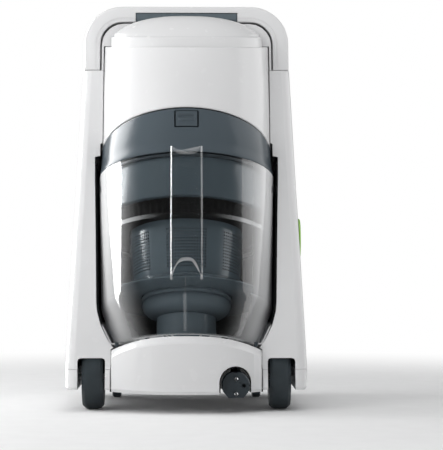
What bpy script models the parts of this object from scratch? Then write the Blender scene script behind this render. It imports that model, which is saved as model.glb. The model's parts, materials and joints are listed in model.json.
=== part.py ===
"""Upright canister cleaning machine with a see-through dust bin, modelled as separate pieces.

Units are metres. +Z is up, the front faces -Y, and the floor is Z = 0.
The bin, the hood and the handle share one backward lean, so the bin pieces hang from an empty
that stands on the bin's own axis.
"""
import math

import bmesh
import bpy
from mathutils import Matrix, Vector

# Overall frame: this offset centres the whole machine over the origin, front to back.
DEPTH_OFFSET = 0.0046

# Lean of the bin, the front faces and the handle.
LEAN = math.radians(17.0)
FRONT_SLOPE = math.tan(LEAN)
FRONT_Y_AT_SPLIT = -0.128
CHASSIS_Z = 0.028
SPLIT_Z = 0.054
CASING_TOP_Z = 0.453
SETBACK = 0.027
SETBACK_Z = (0.095, 0.300)
WALL = 0.003
GAP = 0.0004

# Bin frame: foot of the bin's axis.
BIN_FOOT = (0.0, -0.060, 0.0743)
BIN_R_FOOT = 0.093
BIN_R_KNEE = 0.1133
BIN_KNEE_T = 0.054
BIN_R_RIM = 0.118
BIN_RIM_T = 0.2375
BIN_WALL = 0.0025
LID_TILT = 0.24
LID_T = 0.2716
LID_R = 0.1156

# Ledge plane between the hood and the top cover rises to the rear.
LEDGE_Z = 0.476
LEDGE_Y = -0.060
LEDGE_RISE = 0.105
DOME_RISE = 0.0364
DOME_BASE_Z = 0.491

# Handle.
HANDLE_HALF = 0.140
HANDLE_TOP = 0.544
HANDLE_BAND = 0.0215
HANDLE_DEPTH = 0.031
HANDLE_CORNER = 0.052
GRIP_HALF = 0.070
GRIP_TALL = 0.013
ROD_X = 0.130
ROD_BACK = 0.0155

# Bumper.
BUMPER_HALF = 0.097
BUMPER_BACK_Y = -0.112
BUMPER_FRONT_Y = -0.165
BUMPER_BOTTOM_Z = 0.0245

# Mains plug and cord reel.
PLUG_X = 0.063
PLUG_Z = 0.0352
PLUG_FACE_Y = -0.148
PIN_PITCH = 0.019
PIN_R = 0.0024
LEAD_R = 0.0032
REEL_Y = 0.118
REEL_Z = 0.073
REEL_X = (0.029, 0.0705)
REEL_R = 0.038
WINDING_R = 0.034

# Wheels and casters.
WHEEL_X = 0.1215
WHEEL_Y = -0.078
WHEEL_R = 0.042
WHEEL_WIDE = 0.028
AXLE_R = 0.004
CASTER_X = 0.098
CASTER_Y = 0.107
CASTER_TRAIL = 0.008
CASTER_R = 0.014
CASTER_WIDE = 0.012

# Hose port.
PORT_Y = 0.020
PORT_Z = 0.221
PORT_R = 0.029
PORT_BORE_R = 0.022

# Motor.
MOTOR_Y = 0.084
MOTOR_R = 0.046
MOTOR_Z = (0.352, 0.470)

# Buttons in the top of the rear housing.
BUTTON_X = 0.045
BUTTON_Y = 0.108
BUTTON_R = 0.011

WHITE = ("gloss_white", (0.83, 0.83, 0.83), 0.25, 0.0)
SLATE = ("slate_plastic", (0.085, 0.105, 0.122), 0.35, 0.0)
BLACK = ("black_plastic", (0.012, 0.013, 0.014), 0.5, 0.0)
TYRE = ("dark_rubber", (0.035, 0.045, 0.052), 0.7, 0.0)
CLEAR = ("clear_plastic", (0.80, 0.82, 0.83), 0.05, 0.0)
GREEN = ("green_plastic", (0.24, 0.55, 0.05), 0.35, 0.0)
STEEL = ("plated_steel", (0.66, 0.67, 0.68), 0.3, 1.0)
FOAM = ("filter_foam", (0.02, 0.02, 0.022), 0.95, 0.0)
PAPER = ("filter_paper", (0.72, 0.70, 0.64), 0.9, 0.0)
TANK = ("tank_plastic", (0.62, 0.68, 0.70), 0.3, 0.0)
BOARD = ("board_laminate", (0.02, 0.14, 0.06), 0.5, 0.0)
CORD = ("cord_rubber", (0.02, 0.022, 0.025), 0.6, 0.0)


def clear_scene():
    for old in list(bpy.data.objects):
        bpy.data.objects.remove(old, do_unlink=True)


def blend(points, value):
    """Straight-line interpolation through a list of (value, result) pairs."""
    if value <= points[0][0]:
        return points[0][1]
    for (low, start), (high, end) in zip(points, points[1:]):
        if value <= high:
            return start + (end - start) * (value - low) / (high - low)
    return points[-1][1]


def half_width(z):
    """Outer half width of the machine at height z."""
    return blend([(0.028, 0.1555), (0.054, 0.1563), (0.165, 0.152), (0.235, 0.150),
                  (0.330, 0.146), (0.453, 0.141)], z)


def setback(z):
    """How far the casings' front has curved back at height z."""
    share = (z - SETBACK_Z[0]) / (SETBACK_Z[1] - SETBACK_Z[0])
    share = min(max(share, 0.0), 1.0)
    return SETBACK * share * share * (3.0 - 2.0 * share)


def front_y(z):
    """Front of the casings at height z."""
    return FRONT_Y_AT_SPLIT + FRONT_SLOPE * (z - CHASSIS_Z) + setback(z)


def bay_front(t):
    """Front edge of the bay's sides in the bin frame, just behind the casings' front."""
    front = -0.0475
    for _ in range(5):
        z = BIN_FOOT[2] + math.cos(LEAN) * t - math.sin(LEAN) * front
        front = -0.0475 + math.cos(LEAN) * setback(z)
    return front


def rear_y(z):
    """Rear face of the machine at height z."""
    return blend([(0.028, 0.163), (0.054, 0.165), (0.200, 0.165), (0.330, 0.158),
                  (0.453, 0.146), (0.536, 0.136)], z)


def bin_radius(t):
    """Outer radius of the bin at the distance t along its axis."""
    return blend([(0.0, BIN_R_FOOT), (BIN_KNEE_T, BIN_R_KNEE), (BIN_RIM_T, BIN_R_RIM)], t)


def bay_half(t):
    """Outer half width of the bay behind the bin."""
    return blend([(0.0, 0.099), (0.023, 0.1105), (0.042, 0.116), (0.054, 0.1172),
                  (BIN_RIM_T, 0.123)], t)


def opening_half(z):
    """Half width of the casing's front opening at height z."""
    if z > 0.3515:
        return 0.1134
    if z > 0.334:
        return 0.1163
    if z < 0.0886:
        return blend([(0.0798, 0.0978), (0.0814, 0.0944), (0.0886, 0.1006)], z)
    return bay_half((z - 0.0868) / math.cos(LEAN)) + GAP


def new_object(name, bm, look, parent=None, spot=(0.0, 0.0, 0.0), sharp=32.0):
    bmesh.ops.recalc_face_normals(bm, faces=bm.faces)
    mesh = bpy.data.meshes.new(name)
    bm.to_mesh(mesh)
    bm.free()
    mesh.shade_smooth()
    mesh.set_sharp_from_angle(angle=math.radians(sharp))
    obj = bpy.data.objects.new(name, mesh)
    bpy.context.scene.collection.objects.link(obj)
    obj.location = spot
    obj.parent = parent if parent is not None else MACHINE
    if look is not None:
        mat = bpy.data.materials.new(name + "_" + look[0])
        mat.use_nodes = True
        shader = mat.node_tree.nodes["Principled BSDF"]
        shader.inputs["Base Color"].default_value = (*look[1], 1.0)
        shader.inputs["Roughness"].default_value = look[2]
        shader.inputs["Metallic"].default_value = look[3]
        mesh.materials.append(mat)
    return obj


def new_empty(name, parent=None, spot=(0.0, 0.0, 0.0), turn=(0.0, 0.0, 0.0)):
    obj = bpy.data.objects.new(name, None)
    bpy.context.scene.collection.objects.link(obj)
    obj.parent = parent
    obj.location = spot
    obj.rotation_euler = turn
    return obj


def boolean(obj, cutter, operation="DIFFERENCE"):
    cutter.hide_render = True
    cutter.display_type = "WIRE"
    mod = obj.modifiers.new(operation.lower(), "BOOLEAN")
    mod.operation = operation
    mod.solver = "EXACT"
    mod.object = cutter


def add_loft(bm, rings, caps=(True, True)):
    """Skin between rings of equal length, closed with a face at each end."""
    rows = [[bm.verts.new(p) for p in ring] for ring in rings]
    count = len(rows[0])
    for low, high in zip(rows, rows[1:]):
        for i in range(count):
            j = (i + 1) % count
            bm.faces.new((low[i], low[j], high[j], high[i]))
    if caps[0]:
        bm.faces.new(list(reversed(rows[0])))
    if caps[1]:
        bm.faces.new(rows[-1])
    return rows


def loft(rings):
    bm = bmesh.new()
    add_loft(bm, rings)
    return bm


def cup(outer, inner):
    """Hollow skin, open at its first ring: the rims of the two skins are joined."""
    bm = bmesh.new()
    out = add_loft(bm, outer, (False, True))
    inn = add_loft(bm, inner, (False, True))
    count = len(out[0])
    for i in range(count):
        j = (i + 1) % count
        bm.faces.new((out[0][i], out[0][j], inn[0][j], inn[0][i]))
    return bm


def turned(profile, segments=40, turn=None):
    """Solid of revolution about Z from a closed profile of (radius, height) points."""
    bm = bmesh.new()
    rows = []
    for radius, height in profile:
        if radius <= 0.0:
            rows.append([bm.verts.new((0.0, 0.0, height))] * segments)
            continue
        row = []
        for k in range(segments):
            angle = 2.0 * math.pi * k / segments
            row.append(bm.verts.new((radius * math.cos(angle), radius * math.sin(angle), height)))
        rows.append(row)
    for low, high in zip(rows, rows[1:] + rows[:1]):
        for i in range(segments):
            j = (i + 1) % segments
            corners = []
            for vert in (low[i], low[j], high[j], high[i]):
                if vert not in corners:
                    corners.append(vert)
            if len(corners) > 2:
                bm.faces.new(corners)
    if turn is not None:
        bmesh.ops.transform(bm, matrix=turn, verts=bm.verts)
    return bm


def box(low, high):
    """Plain block between two corners."""
    (x0, y0, z0), (x1, y1, z1) = low, high
    base = [(x0, y0), (x1, y0), (x1, y1), (x0, y1)]
    return loft([[(x, y, z0) for x, y in base], [(x, y, z1) for x, y in base]])


def rounded_box(low, high, radius, steps=2):
    """Block whose edges along Z are rounded."""
    (x0, y0, z0), (x1, y1, z1) = low, high
    base = []
    for cx, cy, start in ((x1 - radius, y1 - radius, 0), (x0 + radius, y1 - radius, 90),
                          (x0 + radius, y0 + radius, 180), (x1 - radius, y0 + radius, 270)):
        for k in range(steps + 1):
            angle = math.radians(start + 90.0 * k / steps)
            base.append((cx + radius * math.cos(angle), cy + radius * math.sin(angle)))
    return loft([[(x, y, z0) for x, y in base], [(x, y, z1) for x, y in base]])


ALONG_X = Matrix.Rotation(math.radians(90.0), 4, "Y")
ALONG_Y = Matrix.Rotation(math.radians(-90.0), 4, "X")


def mirrored(ring, side):
    """The ring itself for side +1, or its mirror image in X for side -1."""
    return [(side * x, y, z) for x, y, z in ring]


# ---------------------------------------------------------------- outer body

def casing_ring(z, side, inset, inner_x, lip):
    """Plan outline of a side casing at height z."""
    wide = half_width(z) - inset
    front = front_y(z) + inset
    rear = rear_y(z) - inset
    ring = [(inner_x, front, z)]
    for k in range(5):
        angle = math.radians(-90.0 + 22.5 * k)
        radius = 0.012 - inset
        ring.append((wide - radius + radius * math.cos(angle), front + radius + radius * math.sin(angle), z))
    for k in range(5):
        angle = math.radians(22.5 * k)
        radius = 0.025 - inset
        ring.append((wide - radius + radius * math.cos(angle), rear - radius + radius * math.sin(angle), z))
    if lip is None:
        ring.append((0.1146, rear, z))
        ring.append((max(inner_x, 0.1161), front + WALL + GAP, z))
    else:
        ring.append((0.080, rear, z))
        ring.append((0.080, front + lip, z))
        ring.append((inner_x, front + lip, z))
    return mirrored(ring, side)


def side_casing(name, side):
    levels = (SPLIT_Z + GAP, 0.0798, 0.0814, 0.0886, 0.100, 0.111, 0.1288, 0.140, 0.160, 0.180, 0.200, 0.220,
              0.240, 0.262, 0.284, 0.300, 0.333, 0.3345, 0.3510, 0.3520, CASING_TOP_Z)
    obj = new_object(name, loft([casing_ring(z, side, 0.0, opening_half(z), None) for z in levels]), WHITE)
    inner_levels = (0.040,) + levels[1:-1] + (CASING_TOP_Z - WALL,)
    hollow = [casing_ring(z, side, WALL, opening_half(z) + WALL, 0.0004) for z in inner_levels]
    boolean(obj, new_object("cut_" + name, loft(hollow), None))
    arch = rounded_box((-0.0178, -0.0160, -0.030), (0.0178, 0.0160, 0.040), 0.004)
    bmesh.ops.transform(arch, matrix=Matrix.Rotation(math.radians(90.0), 4, "X"), verts=arch.verts)
    boolean(obj, new_object("cut_arch_" + name, arch, None, None, (side * 0.1227, -0.110, 0.0525)))
    rod = turned([(0.0, -0.011), (0.0056, -0.011), (0.0056, 0.013), (0.0, 0.013)], 18)
    rod_spot = (side * ROD_X, front_y(CASING_TOP_Z) + ROD_BACK, CASING_TOP_Z)
    bmesh.ops.transform(rod, matrix=Matrix.Rotation(-LEAN, 4, "X"), verts=rod.verts)
    boolean(obj, new_object("cut_rod_" + name, rod, None, None, rod_spot))
    return obj


def chassis_ring(z, inset):
    """Full plan outline of the chassis pan."""
    right = casing_ring(z, 1.0, inset, 0.0, None)[1:-2]
    left = [(-x, y, z) for x, y, z in reversed(right)]
    return right + left


def chassis_pan():
    rings = [chassis_ring(CHASSIS_Z, 0.003), chassis_ring(0.031, 0.0), chassis_ring(SPLIT_Z, 0.0)]
    obj = new_object("chassis_pan", loft(rings), WHITE)
    boolean(obj, new_object("cut_front", box((-0.0985, -0.200, 0.0), (0.0985, -0.1095, 0.1)), None))
    boolean(obj, new_object("cut_pan", box((-0.0995, -0.1065, 0.031), (0.0995, 0.161, 0.1)), None))
    boolean(obj, new_object("cut_lead", box((0.057, -0.115, 0.0312), (0.069, -0.100, 0.1)), None))
    for side, tag in ((1.0, "right"), (-1.0, "left")):
        low = min(side * 0.1049, side * 0.1405)
        high = max(side * 0.1049, side * 0.1405)
        boolean(obj, new_object("cut_well_" + tag, box((low, -0.150, 0.0), (high, -0.030, 0.1)), None))
        low = min(side * 0.0990, side * 0.1520)
        high = max(side * 0.0990, side * 0.1520)
        boolean(obj, new_object("cut_side_" + tag, box((low, -0.024, 0.031), (high, 0.130, 0.1)), None))
        hole = turned([(0.0, -0.01), (0.0239, -0.01), (0.0239, 0.02), (0.0, 0.02)], 28)
        boolean(obj, new_object("cut_cup_" + tag, hole, None, None, (side * CASTER_X, CASTER_Y, CHASSIS_Z)))
        bore = turned([(0.0, 0.100), (AXLE_R + 0.0003, 0.100), (AXLE_R + 0.0003, 0.150), (0.0, 0.150)], 12,
                      ALONG_X)
        spot = (0.0, WHEEL_Y, WHEEL_R)
        cutter = new_object("cut_axle_" + tag, bore, None, None, spot)
        if side < 0.0:
            cutter.rotation_euler = (0.0, 0.0, math.pi)
        boolean(obj, cutter)


def rear_cover():
    levels = (SPLIT_Z + GAP, 0.200, 0.330, CASING_TOP_Z - GAP)
    rings = []
    for z in levels:
        back = rear_y(z)
        rings.append([(-0.1142, back - WALL, z), (0.1142, back - WALL, z), (0.1142, back, z), (-0.1142, back, z)])
    obj = new_object("rear_cover", loft(rings), WHITE)
    boolean(obj, new_object("cut_tank", box((-0.1065, 0.100, 0.0575), (-0.0135, 0.200, 0.2415)), None))
    boolean(obj, new_object("cut_grille", box((-0.0525, 0.120, 0.3625), (0.0525, 0.200, 0.4325)), None))


def arch_ring(half, base, top, corner, depth_of, steps=5):
    """Closed arch outline in X and Z; depth_of gives Y for each height."""
    ring = [(half, base)]
    for k in range(steps + 1):
        angle = math.radians(90.0 * k / steps)
        ring.append((half - corner + corner * math.cos(angle), top - corner + corner * math.sin(angle)))
    for k in range(steps + 1):
        angle = math.radians(90.0 + 90.0 * k / steps)
        ring.append((corner - half + corner * math.cos(angle), top - corner + corner * math.sin(angle)))
    ring.append((-half, base))
    return [(x, depth_of(z), z) for x, z in ring]


def housing_rings(inset, base, front_extra):
    """Outlines of the rear housing, from its leaning front edge to its rounded back."""
    rings = []

    def station(share, shrink, top):
        def depth(z):
            front = front_y(z) + HANDLE_DEPTH + 0.0012 + front_extra
            back = rear_y(z) - inset
            return front + (back - front) * share
        return arch_ring(0.1395 - inset - shrink, base, top - inset - shrink, 0.048 - shrink, depth)

    rings.append(station(0.0, 0.0, 0.5385))
    rings.append(station(0.40, 0.0, 0.5345))
    rings.append(station(0.68, 0.002, 0.5290))
    rings.append(station(0.86, 0.007, 0.5240))
    rings.append(station(0.96, 0.015, 0.5210))
    rings.append(station(1.0, 0.026, 0.5200))
    return rings


def rear_housing():
    obj = new_object("rear_housing", loft(housing_rings(0.0, CASING_TOP_Z + GAP, 0.0)), WHITE)
    hollow = housing_rings(WALL, 0.440, WALL)
    boolean(obj, new_object("cut_housing", loft(hollow), None))
    through = [arch_ring(0.1166, 0.440, 0.516, 0.030, lambda z, d=d: front_y(z) + d) for d in (0.020, 0.045)]
    boolean(obj, new_object("cut_housing_front", loft(through), None))
    for x in (-BUTTON_X, BUTTON_X):
        hole = turned([(0.0, -0.02), (BUTTON_R + GAP, -0.02), (BUTTON_R + GAP, 0.02), (0.0, 0.02)], 24)
        boolean(obj, new_object("cut_button", hole, None, None, (x, BUTTON_Y, 0.530)))


def top_button(name, x, look):
    """Push button in the top of the rear housing."""
    profile = [(0.0, 0.0), (BUTTON_R, 0.0), (BUTTON_R, 0.0135), (BUTTON_R - 0.0015, 0.0150), (0.0, 0.0155)]
    return new_object(name, turned(profile, 24), look, None, (x, BUTTON_Y, 0.5205))


def hood_ring(radius, t_of, power):
    """Front half outline of the hood in the bin frame, closed along its back."""
    ring = []
    for k in range(25):
        angle = math.pi * k / 24.0
        cos, sin = math.cos(angle), math.sin(angle)
        x = radius * math.copysign(abs(cos) ** (2.0 / power), cos)
        y = -radius * abs(sin) ** (2.0 / power)
        ring.append((x, y, t_of(y)))
    return ring


def lid_plane(y):
    return LID_T - LID_TILT * y


def ledge_plane(y, drop=0.0):
    """Height along the bin's axis of the ledge plane, at the depth y in the bin frame."""
    sin, cos = math.sin(LEAN), math.cos(LEAN)
    level = LEDGE_Z - drop - BIN_FOOT[2] + LEDGE_RISE * (BIN_FOOT[1] - LEDGE_Y)
    return (level + y * (sin + LEDGE_RISE * cos)) / (cos - LEDGE_RISE * sin)


def hood():
    low = hood_ring(0.1154, lambda y: lid_plane(y) + 0.0018, 2.0)
    mid = hood_ring(0.1148, lambda y: 0.5 * (lid_plane(y) + ledge_plane(y)), 2.15)
    high = hood_ring(0.1136, ledge_plane, 2.25)
    obj = new_object("hood", loft([low, mid, high]), WHITE, BIN_FRAME)
    rings = []
    for radius, t_of, power in ((0.1124, lambda y: lid_plane(y) - 0.010, 2.0),
                                (0.1118, lambda y: 0.5 * (lid_plane(y) + ledge_plane(y)), 2.15),
                                (0.1106, lambda y: ledge_plane(y, WALL), 2.25)):
        ring = hood_ring(radius, t_of, power)
        ring[-1] = (-radius, 0.020, t_of(0.020))
        ring[0] = (radius, 0.020, t_of(0.020))
        rings.append(ring)
    boolean(obj, new_object("cut_hood", loft(rings), None, BIN_FRAME))


def dome_ring(half, front, z_front, tilt, back_gap):
    """Plan outline of the top cover: a rounded front and a straight leaning back."""
    ring = []
    for k in range(21):
        angle = math.pi * k / 20.0
        cos, sin = math.cos(angle), math.sin(angle)
        x = half * math.copysign(abs(cos) ** 0.85, cos)
        share = abs(sin) ** 0.85
        back_z = z_front + tilt * 0.065
        back = front_y(back_z) - back_gap
        y = back + (front - back) * share
        ring.append((x, y, z_front + tilt * (y - front)))
    return ring


def top_cover():
    def rings(inset):
        made = [dome_ring(0.104 - inset, -0.052 + inset, LEDGE_Z + 0.0012, LEDGE_RISE, 0.0010 + inset)]
        made.append(dome_ring(0.1032 - inset, -0.0512 + inset, DOME_BASE_Z - inset, LEDGE_RISE, 0.0010 + inset))
        for share in (0.22, 0.42, 0.60, 0.74, 0.86, 0.94, 0.985):
            half = 0.103 * (1.0 - share ** 1.3) ** (1.0 / 3.5)
            front = 0.021 - 0.072 * math.sqrt(1.0 - share * share)
            z = DOME_BASE_Z + DOME_RISE * share - inset
            made.append(dome_ring(max(half - inset, 0.006), front + inset, z, LEDGE_RISE * (1.0 - share),
                                  0.0010 + inset))
        return made
    new_object("top_cover", cup(rings(0.0), rings(0.0028)), WHITE)


def upper_body():
    """Arch between the hood and the handle."""
    rings = [arch_ring(0.1163, CASING_TOP_Z + GAP, 0.5196, 0.030, lambda z, d=d: front_y(z) + d)
             for d in (0.0015, 0.0295)]
    obj = new_object("upper_body", loft(rings), WHITE)
    rings = []
    for radius, t_of, power in ((0.1157, lid_plane, 2.2), (0.1149, lambda y: ledge_plane(y, -0.0006), 2.3)):
        ring = hood_ring(radius, t_of, power)
        ring[-1] = (-radius, 0.040, t_of(0.040))
        ring[0] = (radius, 0.040, t_of(0.040))
        rings.append(ring)
    boolean(obj, new_object("cut_upper_hood", loft(rings), None, BIN_FRAME))
    through = [arch_ring(0.098, 0.440, 0.505, 0.030, lambda z, d=d: front_y(z) + d) for d in (-0.010, 0.045)]
    boolean(obj, new_object("cut_upper_way", loft(through), None))


def bumper_front(x):
    return BUMPER_FRONT_Y + 0.035 * abs(x / BUMPER_HALF) ** 2.4


def bumper_top(x):
    return 0.0917 - 0.020 * abs(x / BUMPER_HALF) ** 2.6


def bumper_section(x, inset):
    """Side outline of the bumper at x, open space behind it."""
    front = bumper_front(min(abs(x), BUMPER_HALF)) + inset
    top = bumper_top(min(abs(x), BUMPER_HALF)) - inset
    low = BUMPER_BOTTOM_Z + 0.0015 * abs(x / BUMPER_HALF) ** 2 + inset
    back = BUMPER_BACK_Y + (0.02 if inset > 0.0 else 0.0)
    points = [(back, low), (front + 0.004, low), (front, low + 0.004), (front, top - 0.0025),
              (front + 0.0015, top), (front + 0.0135, top + 0.0068), (back, min(top + 0.0060, 0.0850 - inset))]
    return [(x, y, z) for y, z in points]


def front_bumper():
    count = 20
    stations = [BUMPER_HALF * math.sin(math.pi * (k / count - 0.5)) for k in range(count + 1)]
    rings = []
    for x in stations:
        ring = bumper_section(x, 0.0)
        if abs(x) > BUMPER_HALF * 0.999:
            ring = [(px, py + (0.004 if py < BUMPER_BACK_Y - 0.003 else 0.0), pz) for px, py, pz in ring]
        rings.append(ring)
    obj = new_object("front_bumper", loft(rings), WHITE)
    inner = [bumper_section(x * (BUMPER_HALF - WALL) / BUMPER_HALF, WALL) for x in stations]
    boolean(obj, new_object("cut_bumper", loft(inner), None))
    recess = [plug_arch(0.0206, 0.0, y) for y in (-0.190, -0.100)]
    boolean(obj, new_object("cut_recess", loft(recess), None))


def plug_arch(radius, base, y, steps=12):
    """Half circle over two straight sides, in X and Z."""
    ring = [(PLUG_X - 0.0008 + radius, y, base)]
    for k in range(steps + 1):
        angle = math.pi * k / steps
        ring.append((PLUG_X - 0.0008 + radius * math.cos(angle), y, 0.0396 + radius * math.sin(angle)))
    ring.append((PLUG_X - 0.0008 - radius, y, base))
    return ring


def plug_cup():
    """Black lining of the plug's recess, open below."""
    outer = plug_arch(0.0202, 0.0262, 0.0)
    inner = plug_arch(0.0190, 0.0262, 0.0)
    strip = outer + list(reversed(inner))
    front = [(x, bumper_front(x) + 0.0006, z) for x, y, z in strip]
    back = [(x, BUMPER_BACK_Y - 0.0004, z) for x, y, z in strip]
    new_object("plug_cup", loft([front, back]), BLACK)


# ---------------------------------------------------------------- bay and bin

def bay_ring(t, shrink, front, steps=20):
    """Outline of the bay: straight sides in front, half round behind."""
    half = bay_half(t) - shrink
    ring = [(half, front, t)]
    for k in range(steps + 1):
        angle = math.pi * k / steps
        ring.append((half * math.cos(angle), half * math.sin(angle), t))
    ring.append((-half, front, t))
    return ring


def bin_bay():
    levels = (0.0, 0.023, 0.042, 0.054, 0.080, 0.104, 0.128, 0.152, 0.176, 0.204, 0.254)
    outer = [bay_ring(t, 0.0, bay_front(t)) for t in levels]
    outer[0] = [(x, y, -0.003) for x, y, t in outer[0]]
    obj = new_object("bin_bay", loft(outer), BLACK, BIN_FRAME)
    inner = [bay_ring(t, 0.002, -0.070) for t in levels]
    inner[0] = [(x, y, -0.0006) for x, y, t in inner[0]]
    inner[-1] = [(x, y, 0.270) for x, y, t in inner[-1]]
    boolean(obj, new_object("cut_bay", loft(inner), None, BIN_FRAME))


def bin_rest(name, side):
    low = min(side * 0.0875, side * 0.0925)
    high = max(side * 0.0875, side * 0.0925)
    new_object(name, rounded_box((low, -0.120, 0.0833), (high, -0.109, 0.0888), 0.0015), TYRE)


def bin_shell():
    knee = BIN_KNEE_T
    profile = [(0.0, 0.0), (0.0885, 0.0), (0.0920, 0.0012), (0.0935, 0.0035), (BIN_R_KNEE - 0.0009, knee - 0.003),
               (BIN_R_KNEE + 0.0001, knee + 0.003), (BIN_R_RIM, BIN_RIM_T)]
    profile += [(BIN_R_RIM - BIN_WALL, BIN_RIM_T), (BIN_R_KNEE + 0.0001 - BIN_WALL, knee + 0.003),
                (BIN_R_KNEE - 0.0009 - BIN_WALL, knee - 0.003), (0.0915 - BIN_WALL, 0.0050), (0.0870, 0.0030),
                (0.0, 0.0030)]
    obj = new_object("bin_shell", turned(profile, 48), CLEAR, BIN_FRAME)
    for side, tag in ((1.0, "right"), (-1.0, "left")):
        low = min(side * 0.1131, side * 0.1218)
        high = max(side * 0.1131, side * 0.1218)
        lug = box((low, -0.0275, 0.2120), (high, -0.0227, 0.2210))
        boolean(obj, new_object("add_lug_" + tag, lug, None, BIN_FRAME), "UNION")


def bin_grip():
    """Clear U-shaped grip down the front of the bin, with concave ends."""
    half, deep, wall, corner = 0.02075, 0.030, 0.003, 0.007

    def section(t_mid, sag):
        radius = bin_radius(t_mid)
        outer = [(half, -(radius - 0.0008))]
        for k in range(4):
            angle = math.radians(30.0 * k)
            outer.append((half - corner + corner * math.cos(angle),
                          -(radius + deep - corner) - corner * math.sin(angle)))
        outer.append((0.0, -(radius + deep)))
        outer += [(-x, y) for x, y in reversed(outer[:-1])]
        inner = [(half - wall, -(radius - 0.0008))]
        for k in range(4):
            angle = math.radians(30.0 * k)
            inner.append((half - corner + (corner - wall) * math.cos(angle),
                          -(radius + deep - corner) - (corner - wall) * math.sin(angle)))
        inner.append((0.0, -(radius + deep - wall)))
        inner += [(-x, y) for x, y in reversed(inner[:-1])]
        ring = []
        for x, y in outer + list(reversed(inner)):
            near = (y + radius) / -deep
            ring.append((x, y, t_mid + sag * max(near, 0.0) * (1.0 - 0.75 * (x / half) ** 2)))
        return ring

    new_object("bin_grip", loft([section(0.066, 0.022), section(0.236, -0.009)]), CLEAR, BIN_FRAME)


def circle(radius, t_of, steps=48):
    ring = []
    for k in range(steps):
        angle = 2.0 * math.pi * k / steps
        y = radius * math.sin(angle)
        ring.append((radius * math.cos(angle), y, t_of(y)))
    return ring


def bin_lid():
    low = BIN_RIM_T + 0.0004
    outer = [circle(BIN_R_RIM, lambda y: low), circle(BIN_R_RIM, lambda y: low + 0.003),
             circle(LID_R, lambda y: min(0.254, lid_plane(y) - 0.002)), circle(LID_R, lambda y: lid_plane(y) - 0.001),
             circle(LID_R - 0.001, lid_plane)]
    inner = [circle(BIN_R_RIM - WALL, lambda y: low), circle(BIN_R_RIM - WALL, lambda y: low + 0.001),
             circle(LID_R - WALL, lambda y: min(0.2495, lid_plane(y) - 0.0045)),
             circle(LID_R - WALL, lambda y: lid_plane(y) - 0.0035), circle(LID_R - WALL - 0.001, lambda y: lid_plane(y) - 0.003)]
    obj = new_object("bin_lid", cup(outer, inner), SLATE, BIN_FRAME)
    boolean(obj, new_object("cut_latch", box((-0.0158, -0.130, 0.2726), (0.0158, -0.1055, 0.2956)), None, BIN_FRAME))


def latch_button():
    """Curved button in the front of the lid with a finger ridge across it."""
    def plate(inner_r, outer_r, low, high, half):
        rings = []
        for t in (low, high):
            outer = []
            inner = []
            for k in range(7):
                angle = half * (k / 3.0 - 1.0)
                outer.append((outer_r * math.sin(angle), -outer_r * math.cos(angle), t))
                inner.append((inner_r * math.sin(angle), -inner_r * math.cos(angle), t))
            rings.append(outer + list(reversed(inner)))
        return loft(rings)
    obj = new_object("latch_button", plate(0.1118, 0.1154, 0.2730, 0.2952, 0.1330), SLATE, BIN_FRAME)
    ridge = plate(0.1140, 0.1170, 0.2815, 0.2865, 0.092)
    boolean(obj, new_object("add_ridge", ridge, None, BIN_FRAME), "UNION")


def bin_insides():
    """Gasket and the cyclone unit, from the lid down to the floor of the bin."""
    new_object("lid_gasket", turned([(0.1110, 0.2330), (0.1149, 0.2330), (0.1149, 0.2370), (0.1110, 0.2370)], 40),
               BLACK, BIN_FRAME)
    new_object("cyclone_collar",
               turned([(0.1100, 0.2370), (0.1075, 0.2370), (0.1075, 0.1830), (0.0780, 0.1830), (0.0780, 0.1803),
                       (0.1100, 0.1803)], 40), SLATE, BIN_FRAME)
    new_object("pre_filter", turned([(0.0740, 0.1799), (0.0740, 0.1600), (0.1005, 0.1600), (0.1040, 0.1799)], 40),
               FOAM, BIN_FRAME)
    new_object("filter_shroud", turned([(0.0776, 0.1595), (0.0750, 0.1595), (0.0704, 0.0884), (0.0730, 0.0884)], 40),
               SLATE, BIN_FRAME)
    new_object("cyclone_skirt",
               turned([(0.0600, 0.0880), (0.0600, 0.0857), (0.0725, 0.0857), (0.1070, 0.0708), (0.1080, 0.0722),
                       (0.0740, 0.0880)], 40), SLATE, BIN_FRAME)
    new_object("dust_bowl",
               turned([(0.0560, 0.0852), (0.0560, 0.0700), (0.0572, 0.0620), (0.0556, 0.0560), (0.0500, 0.0500),
                       (0.0375, 0.0456), (0.0375, 0.0434), (0.0400, 0.0434), (0.0520, 0.0476), (0.0582, 0.0545),
                       (0.0600, 0.0620), (0.0586, 0.0700), (0.0586, 0.0852)], 40), SLATE, BIN_FRAME)
    new_object("dust_tube", turned([(0.0375, 0.0430), (0.0375, 0.0034), (0.0400, 0.0034), (0.0400, 0.0430)], 40),
               SLATE, BIN_FRAME)


# ---------------------------------------------------------------- handle

def handle_outline(shrink):
    """Inverted U in X and Z: outer edge up and over, inner edge back."""
    outer_half = HANDLE_HALF - shrink
    outer_top = HANDLE_TOP - shrink
    outer_corner = HANDLE_CORNER - shrink
    inner_half = HANDLE_HALF - HANDLE_BAND + shrink
    inner_top = HANDLE_TOP - HANDLE_BAND - 0.0005 + shrink
    inner_corner = HANDLE_CORNER - HANDLE_BAND + shrink
    base = CASING_TOP_Z + 0.0006 + shrink
    outer = [(x, z) for x, y, z in arch_ring(outer_half, base, outer_top, outer_corner, lambda z: 0.0, 7)]
    inner = [(x, z) for x, y, z in arch_ring(inner_half, base, inner_top, inner_corner, lambda z: 0.0, 7)]
    return outer + list(reversed(inner))


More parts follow.
